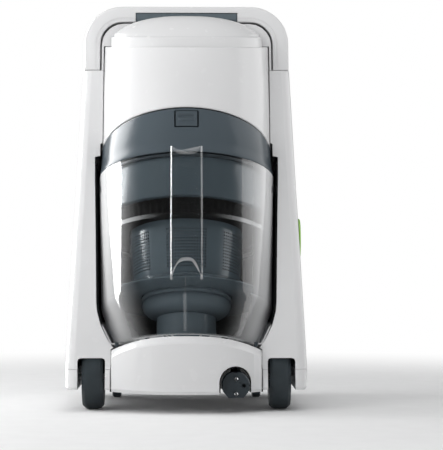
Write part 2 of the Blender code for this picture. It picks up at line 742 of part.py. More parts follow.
def handle_bar():
    rings = []
    for deep, shrink in ((0.0, 0.0018), (0.0018, 0.0), (HANDLE_DEPTH - 0.003, 0.0), (HANDLE_DEPTH, 0.003)):
        rings.append([(x, front_y(z) + deep, z) for x, z in handle_outline(shrink)])
    obj = new_object("handle_bar", loft(rings), WHITE)
    low = HANDLE_TOP - HANDLE_BAND - 0.010
    high = HANDLE_TOP - HANDLE_BAND + GRIP_TALL - 0.0005
    pocket = box((-GRIP_HALF - 0.0003, -0.030, low), (GRIP_HALF + 0.0003, 0.090, high + 0.0003))
    boolean(obj, new_object("cut_grip", pocket, None))


def handle_grip():
    low = HANDLE_TOP - HANDLE_BAND
    high = HANDLE_TOP - HANDLE_BAND + GRIP_TALL - 0.0005
    rings = []
    for x, shrink in ((-GRIP_HALF, 0.0), (GRIP_HALF, 0.0)):
        ring = []
        for z, deep in ((low, 0.004), (low, HANDLE_DEPTH - 0.005), (low + 0.004, HANDLE_DEPTH - 0.001),
                        (high, HANDLE_DEPTH - 0.001), (high, 0.0008), (low + 0.003, 0.0008)):
            ring.append((x, front_y(z) + deep, z))
        rings.append(ring)
    new_object("handle_grip", loft(rings), SLATE)


def handle_rod(name, side):
    """Steel rod under each leg of the handle, hidden in the casing."""
    length = 0.130
    frame = Matrix.Rotation(-LEAN, 4, "X")
    rod = turned([(0.0, -length), (0.0050, -length), (0.0050, -0.0012), (0.0, -0.0012)], 16, frame)
    new_object(name, rod, STEEL, None, (side * ROD_X, front_y(CASING_TOP_Z) + ROD_BACK, CASING_TOP_Z))


# ---------------------------------------------------------------- running gear

def front_wheel(side, tag):
    half = WHEEL_WIDE / 2.0
    spot = (side * WHEEL_X, WHEEL_Y, WHEEL_R)
    tyre = [(0.0290, -half + 0.002), (WHEEL_R - 0.0050, -half), (WHEEL_R - 0.0012, -half + 0.0040),
            (WHEEL_R, -half + 0.0085), (WHEEL_R, half - 0.0085), (WHEEL_R - 0.0012, half - 0.0040),
            (WHEEL_R - 0.0050, half), (0.0290, half - 0.002)]
    new_object("wheel_tyre_" + tag, turned(tyre, 40, ALONG_X), TYRE, None, spot)
    hub = [(AXLE_R + 0.0004, -half + 0.003), (0.0287, -half + 0.004), (0.0287, half - 0.004),
           (AXLE_R + 0.0004, half - 0.003)]
    new_object("wheel_hub_" + tag, turned(hub, 28, ALONG_X), SLATE, None, spot)
    axle = turned([(0.0, -0.0190), (AXLE_R, -0.0190), (AXLE_R, 0.0260), (0.0, 0.0260)], 12, ALONG_X)
    obj = new_object("wheel_axle_" + tag, axle, STEEL, None, spot)
    if side < 0.0:
        obj.rotation_euler = (0.0, 0.0, math.pi)


def caster(side, tag):
    pivot = (side * CASTER_X, CASTER_Y, 0.0)
    profile = [(0.0046, 0.0355), (0.0210, 0.0355), (0.0210, 0.0282), (0.0234, 0.0282), (0.0234, 0.0380),
               (0.0046, 0.0380)]
    new_object("caster_cup_" + tag, turned(profile, 28), BLACK, None, pivot)
    wheel_y = CASTER_TRAIL
    arm_in, arm_out = CASTER_WIDE / 2.0 + 0.0012, CASTER_WIDE / 2.0 + 0.0036
    outline = [(-arm_out, 0.0080), (-arm_in, 0.0080), (-arm_in, 0.0300), (arm_in, 0.0300), (arm_in, 0.0080),
               (arm_out, 0.0080), (arm_out, 0.0330), (-arm_out, 0.0330)]
    fork = loft([[(x, y, z) for x, z in outline] for y in (-0.0060, wheel_y + 0.0050)])
    obj = new_object("caster_fork_" + tag, fork, BLACK, None, pivot)
    stem = turned([(0.0, 0.0310), (0.0042, 0.0310), (0.0042, 0.0440), (0.0, 0.0440)], 14)
    boolean(obj, new_object("add_stem_" + tag, stem, None, None, pivot), "UNION")
    bore = turned([(0.0, -0.02), (0.0023, -0.02), (0.0023, 0.02), (0.0, 0.02)], 12, ALONG_X)
    axle_spot = (side * CASTER_X, CASTER_Y + wheel_y, CASTER_R)
    boolean(obj, new_object("cut_pin_" + tag, bore, None, None, axle_spot))
    half = CASTER_WIDE / 2.0
    tread = [(0.0024, -half), (CASTER_R - 0.0015, -half), (CASTER_R, -half + 0.0015), (CASTER_R, half - 0.0015),
             (CASTER_R - 0.0015, half), (0.0024, half)]
    new_object("caster_wheel_" + tag, turned(tread, 24, ALONG_X), TYRE, None, axle_spot)
    pin = turned([(0.0, -arm_out), (0.0020, -arm_out), (0.0020, arm_out), (0.0, arm_out)], 12, ALONG_X)
    new_object("caster_pin_" + tag, pin, STEEL, None, axle_spot)


# ---------------------------------------------------------------- plug, cord and insides

def plug_outline():
    right = [(0.0, 0.0173), (0.0065, 0.0173), (0.0118, 0.0140), (0.0160, 0.0085), (0.0180, 0.0030),
             (0.0180, -0.0035), (0.0158, -0.0085), (0.0098, -0.0157), (0.0, -0.0157)]
    return right + [(-x, z) for x, z in reversed(right[1:-1])]


def mains_plug():
    spot = (PLUG_X, PLUG_FACE_Y, PLUG_Z)
    rings = []
    for deep, scale in ((0.0, 0.96), (0.0010, 1.0), (0.0150, 1.0), (0.0190, 0.80), (0.0300, 0.36), (0.0380, 0.30)):
        rings.append([(x * scale, deep, z * scale) for x, z in plug_outline()])
    obj = new_object("plug_body", loft(rings), SLATE, None, spot)
    earth = turned([(0.0, -0.01), (0.0024, -0.01), (0.0024, 0.012), (0.0, 0.012)], 14, ALONG_Y)
    boolean(obj, new_object("cut_earth", earth, None, None, (PLUG_X + 0.0102, PLUG_FACE_Y, PLUG_Z)))
    for tag, z in (("upper", PIN_PITCH / 2.0), ("lower", -PIN_PITCH / 2.0)):
        pin = turned([(0.0, -0.0190), (PIN_R - 0.0008, -0.0190), (PIN_R, -0.0178), (PIN_R, -0.0003), (0.0, -0.0003)],
                     14, ALONG_Y)
        new_object("plug_pin_" + tag, pin, STEEL, None, (PLUG_X, PLUG_FACE_Y, PLUG_Z + z))
    start = PLUG_FACE_Y + 0.0383
    lead = turned([(0.0, start), (LEAD_R, start), (LEAD_R, REEL_Y), (0.0, REEL_Y)], 14, ALONG_Y)
    new_object("mains_lead", lead, CORD, None, (PLUG_X, 0.0, PLUG_Z))


def cord_reel():
    low, high = REEL_X
    spot = (0.0, REEL_Y, REEL_Z)
    drum = [(0.0, low - 0.010), (0.0046, low - 0.010), (0.0046, low), (REEL_R, low), (REEL_R, low + 0.0025),
            (0.0160, low + 0.0025), (0.0160, high - 0.0025), (REEL_R, high - 0.0025), (REEL_R, high),
            (0.0046, high), (0.0046, high + 0.010), (0.0, high + 0.010)]
    new_object("reel_drum", turned(drum, 32, ALONG_X), BLACK, None, spot)
    wound = [(0.0164, low + 0.0029), (WINDING_R, low + 0.0029), (WINDING_R, high - 0.0029), (0.0164, high - 0.0029)]
    new_object("cord_winding", turned(wound, 32, ALONG_X), CORD, None, spot)


def motor():
    spot = (0.0, MOTOR_Y, 0.0)
    low, high = MOTOR_Z
    case = [(MOTOR_R - 0.0025, low), (MOTOR_R, low), (MOTOR_R, high - 0.006), (MOTOR_R - 0.006, high),
            (0.0060, high), (0.0060, high - 0.003), (MOTOR_R - 0.0075, high - 0.003), (MOTOR_R - 0.0025, high - 0.008)]
    new_object("motor_case", turned(case, 32), BLACK, None, spot)
    blades = 9
    outline = []
    for k in range(blades):
        base = 2.0 * math.pi * k / blades
        outline.append((0.0120 * math.cos(base), 0.0120 * math.sin(base)))
        outline.append((0.0400 * math.cos(base + 0.28), 0.0400 * math.sin(base + 0.28)))
        outline.append((0.0400 * math.cos(base + 0.36), 0.0400 * math.sin(base + 0.36)))
        outline.append((0.0130 * math.cos(base + 0.26), 0.0130 * math.sin(base + 0.26)))
    impeller = loft([[(x, y, z) for x, y in outline] for z in (0.356, 0.368)])
    obj = new_object("fan_impeller", impeller, STEEL, None, spot)
    shaft = turned([(0.0, 0.3620), (0.0040, 0.3620), (0.0040, 0.4660), (0.0, 0.4660)], 14)
    boolean(obj, new_object("add_shaft", shaft, None, None, spot), "UNION")


def exhaust():
    slope = math.atan2(rear_y(0.430) - rear_y(0.365), 0.065)
    turn = Matrix.Rotation(-slope, 4, "X")
    frame = box((-0.0520, -0.0028, -0.0345), (0.0520, 0.0002, 0.0345))
    bmesh.ops.transform(frame, matrix=turn, verts=frame.verts)
    middle = 0.3975
    spot = (0.0, rear_y(middle) - 0.0004, middle)
    obj = new_object("exhaust_grille", frame, SLATE, None, spot)
    for k in range(7):
        z = -0.0255 + 0.0085 * k
        slot = box((-0.0460, -0.010, z - 0.0022), (0.0460, 0.010, z + 0.0022))
        bmesh.ops.transform(slot, matrix=turn, verts=slot.verts)
        boolean(obj, new_object("cut_slot", slot, None, None, spot))
    new_object("exhaust_filter", box((-0.050, 0.1335, 0.3700), (0.050, 0.1405, 0.4250)), PAPER)


def solution_tank():
    """Wedge-shaped tank behind the bay; it leaves through the rear."""
    left, right = -0.1060, -0.0140
    side = [(0.0760, 0.0580), (0.1630, 0.0580), (0.1630, 0.2407), (0.1605, 0.2407), (0.1600, 0.2320),
            (0.1310, 0.2320)]
    rings = [[(x, y, z) for y, z in side] for x in (left, right)]
    obj = new_object("solution_tank", loft(rings), TANK)
    hollow = [(0.0795, 0.0605), (0.1605, 0.0605), (0.1605, 0.2295), (0.1335, 0.2295)]
    rings = [[(x, y, z) for y, z in hollow] for x in (left + 0.0025, right - 0.0025)]
    boolean(obj, new_object("cut_tank_inside", loft(rings), None))
    neck = turned([(0.0, -0.01), (0.0090, -0.01), (0.0090, 0.01), (0.0, 0.01)], 20)
    boolean(obj, new_object("cut_tank_neck", neck, None, None, (-0.060, 0.1470, 0.2310)))
    cap = [(0.0, 0.0004), (0.0125, 0.0004), (0.0125, 0.0080), (0.0, 0.0080)]
    new_object("tank_cap", turned(cap, 24), SLATE, None, (-0.060, 0.1470, 0.2320))


def small_insides():
    new_object("pump_body", rounded_box((-0.062, 0.092, 0.0314), (-0.024, 0.128, 0.0545), 0.005), BLACK)
    new_object("circuit_board", box((0.020, 0.1560, 0.125), (0.100, 0.1576, 0.225)), BOARD)


def hose_port():
    spot = (0.0, PORT_Y, PORT_Z)
    ring = [(PORT_BORE_R, 0.1320), (0.0246, 0.1320), (0.0246, 0.1518), (PORT_R, 0.1518), (PORT_R, 0.1532),
            (PORT_R - 0.0015, 0.1545), (PORT_BORE_R + 0.001, 0.1545), (PORT_BORE_R, 0.1535)]
    new_object("hose_port_ring", turned(ring, 36, ALONG_X), GREEN, None, spot)
    duct = [(0.0200, 0.1225), (0.0240, 0.1225), (0.0240, 0.1316), (0.0200, 0.1316)]
    new_object("hose_port_duct", turned(duct, 32, ALONG_X), BLACK, None, spot)
    hole = turned([(0.0, 0.130), (0.0250, 0.130), (0.0250, 0.170), (0.0, 0.170)], 36, ALONG_X)
    boolean(bpy.data.objects["side_casing_right"], new_object("cut_port", hole, None, None, spot))


clear_scene()
MACHINE = new_empty("machine", None, (0.0, DEPTH_OFFSET, 0.0))
BIN_FRAME = new_empty("bin_frame", MACHINE, BIN_FOOT, (-LEAN, 0.0, 0.0))
chassis_pan()
side_casing("side_casing_left", -1.0)
side_casing("side_casing_right", 1.0)
rear_cover()
rear_housing()
upper_body()
hood()
top_cover()
front_bumper()
plug_cup()
bin_bay()
bin_rest("bin_rest_left", -1.0)
bin_rest("bin_rest_right", 1.0)
bin_shell()
bin_grip()
bin_lid()
latch_button()
bin_insides()
handle_bar()
handle_grip()
handle_rod("handle_rod_left", -1.0)
handle_rod("handle_rod_right", 1.0)
for wheel_side, wheel_tag in ((-1.0, "left"), (1.0, "right")):
    front_wheel(wheel_side, wheel_tag)
    caster(wheel_side, wheel_tag)
mains_plug()
cord_reel()
motor()
exhaust()
solution_tank()
small_insides()
hose_port()
top_button("power_button", -BUTTON_X, GREEN)
top_button("rewind_button", BUTTON_X, SLATE)
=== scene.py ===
import json
import math

import bmesh
import bpy
from mathutils import Matrix, Vector


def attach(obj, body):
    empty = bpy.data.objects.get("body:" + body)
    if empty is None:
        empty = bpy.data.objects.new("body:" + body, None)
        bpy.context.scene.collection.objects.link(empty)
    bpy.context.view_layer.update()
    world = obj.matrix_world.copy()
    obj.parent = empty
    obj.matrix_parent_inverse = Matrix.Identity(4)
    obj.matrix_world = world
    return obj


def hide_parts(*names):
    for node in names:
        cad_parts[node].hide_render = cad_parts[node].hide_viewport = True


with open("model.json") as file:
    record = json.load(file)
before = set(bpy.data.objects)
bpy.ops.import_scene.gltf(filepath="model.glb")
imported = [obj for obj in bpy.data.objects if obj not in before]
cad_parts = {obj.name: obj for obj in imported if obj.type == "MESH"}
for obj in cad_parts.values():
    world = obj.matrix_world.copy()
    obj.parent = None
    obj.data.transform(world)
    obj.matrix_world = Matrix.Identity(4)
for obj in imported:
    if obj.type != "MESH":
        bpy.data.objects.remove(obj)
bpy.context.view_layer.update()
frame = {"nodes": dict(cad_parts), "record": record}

# ---------------------------------------------------------------- measures, in metres

LEAN = math.radians(17.0)
DEPTH_OFFSET = 0.0046
BIN_FOOT = Vector((0.0, -0.060 + DEPTH_OFFSET, 0.0743))
TO_WORLD = Matrix.Translation(BIN_FOOT) @ Matrix.Rotation(-LEAN, 4, "X")

# The casings' front face passes this far forward at this height, and leans back above it.
CASING_FRONT_Y = -0.101
CASING_FRONT_Z = 0.0280

# The bin's radius at its foot, at the top of its cone and at its rim, and the last two's heights.
BIN_WALL = 0.0025
FOOT_R, CONE_R, RIM_R = 0.093, 0.1133, 0.118
CONE_T, RIM_T = 0.054, 0.2375


def casing_front(z):
    """Front of the casings above the bin, at height z."""
    return DEPTH_OFFSET + CASING_FRONT_Y + math.tan(LEAN) * (z - CASING_FRONT_Z)


# ---------------------------------------------------------------- mesh helpers

def add_loft(bm, rings, caps=(True, True)):
    """Skin between rings of equal length, closed with a face at each end."""
    rows = [[bm.verts.new(p) for p in ring] for ring in rings]
    count = len(rows[0])
    for low, high in zip(rows, rows[1:]):
        for i in range(count):
            j = (i + 1) % count
            bm.faces.new((low[i], low[j], high[j], high[i]))
    if caps[0]:
        bm.faces.new(list(reversed(rows[0])))
    if caps[1]:
        bm.faces.new(rows[-1])
    return rows


def loft(rings):
    """Closed skin through a list of rings."""
    bm = bmesh.new()
    add_loft(bm, rings)
    return bm


def circle(radius, height_of, steps=144):
    """Ring about Z whose height is a function of y."""
    points = []
    for k in range(steps):
        angle = 2.0 * math.pi * k / steps
        y = radius * math.sin(angle)
        points.append((radius * math.cos(angle), y, height_of(y)))
    return points


def turned(profile, segments):
    """Solid of revolution about Z from a closed profile of (radius, height) points."""
    bm = bmesh.new()
    rows = []
    for radius, height in profile:
        if radius <= 0.0:
            rows.append([bm.verts.new((0.0, 0.0, height))] * segments)
            continue
        rows.append([bm.verts.new(point) for point in circle(radius, lambda y: height, segments)])
    for low, high in zip(rows, rows[1:] + rows[:1]):
        for i in range(segments):
            j = (i + 1) % segments
            corners = []
            for vert in (low[i], low[j], high[j], high[i]):
                if vert not in corners:
                    corners.append(vert)
            if len(corners) > 2:
                bm.faces.new(corners)
    return bm


def block(low, high):
    """Box between two corners, to cut with or to join on."""
    (x0, y0, z0), (x1, y1, z1) = low, high
    base = [(x0, y0), (x1, y0), (x1, y1), (x0, y1)]
    return loft([[(x, y, z0) for x, y in base], [(x, y, z1) for x, y in base]])


def mesh_object(name, bm, matrix=None):
    """New object from bm, which is moved by the matrix first and used up."""
    if matrix is not None:
        bmesh.ops.transform(bm, matrix=matrix, verts=bm.verts)
    bmesh.ops.recalc_face_normals(bm, faces=bm.faces)
    mesh = bpy.data.meshes.new(name)
    bm.to_mesh(mesh)
    bm.free()
    obj = bpy.data.objects.new(name, mesh)
    bpy.context.scene.collection.objects.link(obj)
    return obj


def settle(obj):
    """Applies the object's modifiers to its mesh."""
    graph = bpy.context.evaluated_depsgraph_get()
    mesh = bpy.data.meshes.new_from_object(obj.evaluated_get(graph))
    obj.modifiers.clear()
    obj.data = mesh


def combine(obj, bm, operation="DIFFERENCE", matrix=None):
    """Cuts bm from the object, or joins it on."""
    other = mesh_object("cutter", bm, matrix)
    mod = obj.modifiers.new("combine", "BOOLEAN")
    mod.operation = operation
    mod.solver = "EXACT"
    mod.object = other
    settle(obj)
    bpy.data.objects.remove(other, do_unlink=True)


def soften(obj, width=0.0008, sharp=30.0, segments=3):
    """Smooth shading with rounded edges."""
    mesh = obj.data
    mesh.shade_smooth()
    mesh.set_sharp_from_angle(angle=math.radians(sharp))
    if width > 0.0:
        mod = obj.modifiers.new("edges", "BEVEL")
        mod.width = width
        mod.segments = segments
        mod.limit_method = "ANGLE"
        mod.angle_limit = math.radians(sharp)
        mod.use_clamp_overlap = True
        mod.harden_normals = True


def face_slots(obj, materials, choose):
    """Gives each face the material chosen from its centre and its normal in the bin frame."""
    for material in materials:
        obj.data.materials.append(material)
    names = [material.name for material in obj.data.materials]
    back = TO_WORLD.inverted()
    turn = back.to_3x3()
    for face in obj.data.polygons:
        chosen = choose(back @ face.center, (turn @ face.normal).normalized())
        face.material_index = names.index(chosen.name)


WELD_DISTANCE = 0.00002
FLAT_ANGLE = math.radians(0.6)


def merged_copy(node, whole=True):
    """Copy of a CAD node's mesh, with its flat faces whole again unless told otherwise."""
    bm = bmesh.new()
    bm.from_mesh(frame["nodes"][node].data)
    bmesh.ops.remove_doubles(bm, verts=bm.verts, dist=WELD_DISTANCE)
    if whole:
        bmesh.ops.dissolve_limit(bm, angle_limit=FLAT_ANGLE, verts=bm.verts, edges=bm.edges)
    return bm


BODY_OF = {node: body for body, nodes in frame["record"]["behaviour"]["bodies"].items()
           for node in nodes}


def place(obj, node, material):
    """Gives a piece its material and its body, and puts it in place of its CAD node."""
    obj.data.materials.clear()
    obj.data.materials.append(material)
    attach(obj, BODY_OF[node])
    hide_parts(node)


def refined(node, material, width):
    """The CAD node's own shape with rounded edges; no width keeps its edges and faces."""
    obj = mesh_object(node + "_skin", merged_copy(node, width > 0.0))
    soften(obj, width)
    place(obj, node, material)


# ---------------------------------------------------------------- materials

class Nodes:
    """Short way to add and link shader nodes."""

    def __init__(self, name):
        self.mat = bpy.data.materials.new(name)
        self.mat.use_nodes = True
        self.tree = self.mat.node_tree
        self.tree.nodes.clear()
        self.out = self.tree.nodes.new("ShaderNodeOutputMaterial")
        self.coords = self.tree.nodes.new("ShaderNodeTexCoord").outputs["Object"]

    def add(self, kind, links=None, **values):
        node = self.tree.nodes.new("ShaderNode" + kind)
        for key, value in values.items():
            setattr(node, key, value)
        for key, value in (links or {}).items():
            socket = node.inputs[key]
            if isinstance(value, bpy.types.NodeSocket):
                self.tree.links.new(value, socket)
            else:
                socket.default_value = value
        return node

    def noise(self, scale, detail):
        node = self.add("TexNoise", {"Vector": self.coords, "Scale": scale, "Detail": detail})
        return node.outputs["Fac"]

    def spread(self, value, low, high, floor=0.25, ceiling=0.75):
        """Maps a value's middle range onto low to high."""
        return self.add("MapRange", {"Value": value, "From Min": floor, "From Max": ceiling,
                                     "To Min": low, "To Max": high}).outputs["Result"]

    def smooth(self, value, start, stop, high=1.0):
        """Eases from 0 at start to high at stop."""
        return self.add("MapRange", {"Value": value, "From Min": start, "From Max": stop,
                                     "To Min": 0.0, "To Max": high},
                        interpolation_type="SMOOTHSTEP").outputs["Result"]

    def calc(self, operation, first, second=0.5):
        return self.add("Math", {0: first, 1: second}, operation=operation).outputs[0]

    def blend(self, share, first, second):
        return self.add("MixShader", {0: share, 1: first, 2: second}).outputs[0]

    def tint(self, value, dark, light):
        """Colour between dark and light."""
        mix = self.add("Mix", {"Factor": value}, data_type="RGBA")
        mix.inputs[6].default_value = (*dark, 1.0)
        mix.inputs[7].default_value = (*light, 1.0)
        return mix.outputs[2]

    def bump(self, height, strength, distance):
        return self.add("Bump", {"Height": height, "Strength": strength,
                                 "Distance": distance}).outputs["Normal"]

    def principled(self, color, roughness, normal, **constants):
        """Principled shader as the whole surface; the constants sit on its own sockets."""
        links = {"Base Color": color, "Roughness": roughness, "Normal": normal}
        links.update({key.replace("_", " "): value for key, value in constants.items()})
        return self.finish(self.add("BsdfPrincipled", links).outputs["BSDF"])

    def finish(self, shader):
        self.tree.links.new(shader, self.out.inputs["Surface"])
        return self.mat


def scaled(color, factor):
    return [channel * factor for channel in color]


GRAIN_DEPTH = 0.0001


def plastic(name, color, vary, rough, grain_scale, grain, coat=0.0, specular=0.5,
            rough_vary=0.05, metallic=0.0):
    """Moulded plastic: slow colour drift, uneven gloss and a fine grain."""
    n = Nodes(name)
    drift = n.noise(14.0, 3.0)
    base = n.tint(n.spread(drift, 0.0, 1.0), scaled(color, 1.0 - vary), scaled(color, 1.0 + vary))
    gloss = n.spread(n.noise(60.0, 4.0), rough - rough_vary, rough + rough_vary)
    normal = n.bump(n.noise(grain_scale, 3.0), grain, GRAIN_DEPTH)
    return n.principled(base, gloss, normal, Metallic=metallic, Coat_Weight=coat,
                        Coat_Roughness=0.08, Specular_IOR_Level=specular)


CLEAR_TINT = (0.965, 0.972, 0.975, 1.0)
MILK_TINT = (0.93, 0.935, 0.94, 1.0)
PURE_WHITE = (1.0, 1.0, 1.0, 1.0)


def clear_plastic(name, haze, rim_milk, face_gloss, edge_gloss, start=0.10, stop=0.72):
    """Clear moulded plastic: see-through head on, milky and glossy at a glancing angle."""
    n = Nodes(name)
    cloud = n.spread(n.noise(9.0, 3.0), haze * 0.6, haze * 1.4)
    normal = n.bump(n.noise(22.0, 2.0), 0.06, 0.0002)
    clear = n.add("BsdfTransparent", {"Color": CLEAR_TINT}).outputs["BSDF"]
    milk = n.add("BsdfDiffuse", {"Color": MILK_TINT}).outputs["BSDF"]
    facing = n.add("LayerWeight", {"Blend": 0.5}).outputs["Facing"]
    rim = n.smooth(facing, start, stop, rim_milk)
    body = n.blend(n.calc("ADD", rim, cloud), clear, milk)
    shine = n.add("BsdfGlossy", {"Color": PURE_WHITE, "Roughness": 0.035, "Normal": normal})
    curve = n.calc("POWER", facing, 2.6)
    amount = n.add("MapRange", {"Value": curve, "To Min": face_gloss, "To Max": edge_gloss})
    return n.finish(n.blend(amount.outputs["Result"], body, shine.outputs["BSDF"]))


def rubber(name, color):
    """Tyre rubber: dull, with moulding marks and scuffs on the tread."""
    n = Nodes(name)
    scuff = n.spread(n.noise(35.0, 6.0), 0.0, 1.0, 0.35, 0.75)
    base = n.tint(scuff, scaled(color, 0.85), scaled(color, 1.25))
    gloss = n.spread(n.noise(140.0, 3.0), 0.55, 0.75)
    return n.principled(base, gloss, n.bump(n.noise(1700.0, 3.0), 0.35, GRAIN_DEPTH))


def foam(name, color, scale):
    """Open-celled foam or pressed paper."""
    n = Nodes(name)
    cells = n.add("TexVoronoi", {"Vector": n.coords, "Scale": scale}).outputs["Distance"]
    base = n.tint(n.spread(cells, 0.0, 1.0, 0.1, 0.6), scaled(color, 1.25), scaled(color, 0.6))
    return n.principled(base, n.spread(cells, 0.85, 0.98), n.bump(cells, 0.8, 0.0006))


def bay_painted_shade_and_light(name, dark, light):
    """Painted shade and light: black standing in for the bay's deep shade, turning to painted light
    (white) low down at the sides, beside the bin's cone.
    """
    n = Nodes(name)
    split = n.add("SeparateXYZ", {0: n.coords})
    # Painted light mask: white low down beside the cone; the black elsewhere is painted shade.
    side = n.smooth(n.calc("ABSOLUTE", split.outputs["X"]), 0.070, 0.100)
    low = n.add("MapRange", {"Value": split.outputs["Z"], "From Min": 0.107, "From Max": 0.112,
                             "To Min": 1.0, "To Max": 0.0}).outputs["Result"]
    base = n.tint(n.calc("MULTIPLY", side, low), dark, light)
    grain = n.noise(1500.0, 3.0)
    return n.principled(base, n.spread(grain, 0.45, 0.55), n.bump(grain, 0.2, GRAIN_DEPTH),
                        Specular_IOR_Level=0.3)


# Plastics and metal: colour, how much it varies, roughness, grain scale and grain strength.
WHITE = plastic("gloss_white", (0.80, 0.80, 0.805), 0.012, 0.24, 900.0, 0.04,
                coat=0.05, specular=0.20)
SLATE = plastic("slate_plastic", (0.084, 0.104, 0.120), 0.05, 0.22, 1600.0, 0.08, specular=0.13)
SLATE_GRIP = plastic("slate_grip", (0.130, 0.162, 0.182), 0.05, 0.30, 1600.0, 0.10, specular=0.3)
SLATE_INNER = plastic("slate_inner", (0.092, 0.118, 0.136), 0.05, 0.22, 1200.0, 0.08)
# Painted light: a lighter copy of the inner slate for the skirt, bowl and tube, standing in for
# light from below.
SLATE_PAINTED_LIT = plastic("slate_painted_lit", (0.125, 0.155, 0.175), 0.05, 0.22, 1200.0, 0.08)
SLATE_DARK = plastic("slate_dark", (0.045, 0.058, 0.068), 0.06, 0.42, 1600.0, 0.20)
BLACK = plastic("black_plastic", (0.010, 0.011, 0.012), 0.10, 0.50, 1500.0, 0.25)
GREEN = plastic("green_plastic", (0.26, 0.56, 0.05), 0.05, 0.35, 1300.0, 0.12)
TANK = plastic("tank_plastic", (0.60, 0.66, 0.69), 0.02, 0.34, 1600.0, 0.04, rough_vary=0.02)
BOARD = plastic("board_laminate", (0.02, 0.14, 0.06), 0.12, 0.50, 500.0, 0.20)
STEEL = plastic("plated_steel", (0.66, 0.67, 0.68), 0.03, 0.28, 1100.0, 0.10, metallic=1.0)
CORD = plastic("cord_rubber", (0.020, 0.022, 0.025), 0.10, 0.60, 900.0, 0.20)

# Clear plastics: haze, milk at the rim, gloss head on, gloss at the rim, and where milk starts and
# is full.
CLEAR = clear_plastic("clear_bin", 0.002, 0.92, 0.024, 0.38, 0.18, 0.76)
CLEAR_CONE = clear_plastic("clear_cone", 0.002, 0.92, 0.020, 0.38, 0.12, 0.74)
CLEAR_RIB = clear_plastic("clear_rib", 0.002, 0.60, 0.01, 0.20, 0.06, 0.36)
CLEAR_INSIDE = clear_plastic("clear_inside", 0.001, 0.0, 0.0, 0.0)
CLEAR_GRIP = clear_plastic("clear_grip", 0.002, 0.12, 0.024, 0.30)
CLEAR_EDGE = clear_plastic("clear_edge", 0.17, 0.30, 0.04, 0.45)

# Painted shade and light for the bin's bay: black for its deep shade, white low at the sides for
# light.
BAY_PAINTED_SHADE_AND_LIGHT = bay_painted_shade_and_light("bay_painted_shade_and_light", (0.010, 0.011, 0.012), (0.78, 0.78, 0.785))
TYRE = rubber("wheel_rubber", (0.040, 0.052, 0.060))
FOAM = foam("filter_foam", (0.005, 0.0047, 0.0044), 700.0)
PAPER = foam("filter_paper", (0.70, 0.68, 0.62), 1500.0)

# ---------------------------------------------------------------- bin and cyclone


def curve_points(points, steps=4):
    """Smooth curve through a list of points, for a rounded profile."""
    out = []
    last = len(points) - 1
    for i in range(last):
        p0, p1 = points[max(i - 1, 0)], points[i]
        p2, p3 = points[i + 1], points[min(i + 2, last)]
        for k in range(steps):
            u = k / steps
            out.append(tuple(0.5 * (2.0 * b + (c - a) * u
                                    + (2.0 * a - 5.0 * b + 4.0 * c - d) * u * u
                                    + (3.0 * b - a - 3.0 * c + d) * u ** 3)
                             for a, b, c, d in zip(p0, p1, p2, p3)))
    out.append(tuple(points[-1]))
    return out


def rounded(profile, radius, steps=4):
    """Profile with each corner made a small arc; radius is one number, or one for each corner."""
    out = []
    count = len(profile)
    for i, corner in enumerate(profile):
        size = radius[i] if isinstance(radius, (list, tuple)) else radius
        here = Vector(corner)
        before = Vector(profile[i - 1]) - here
        after = Vector(profile[(i + 1) % count]) - here
        reach = min(size, 0.45 * before.length, 0.45 * after.length)
        start = here + before.normalized() * reach
        stop = here + after.normalized() * reach
        for k in range(steps + 1):
            u = k / steps
            point = start * (1.0 - u) ** 2 + here * (2.0 * u * (1.0 - u)) + stop * u * u
            out.append(tuple(point))
    return out


def turned_piece(node, profile, material):
    """Piece turned about the bin's axis."""
    obj = mesh_object(node + "_skin", turned(profile, 144), TO_WORLD)
    soften(obj, 0.0, 50.0)
    place(obj, node, material)


def bin_radius(t):
    """The bin's outer radius at height t above its foot."""
    if t < CONE_T:
        return FOOT_R + (CONE_R - FOOT_R) * t / CONE_T
    return CONE_R + (RIM_R - CONE_R) * (t - CONE_T) / (RIM_T - CONE_T)


# The rib inside the bin's wall, the seam down its cone, and where the cone's clear plastic ends.
RIB_ZONE = (0.1510, 0.1585)
SEAM_X = (-0.0021, -0.0009)
CONE_END = 0.0575


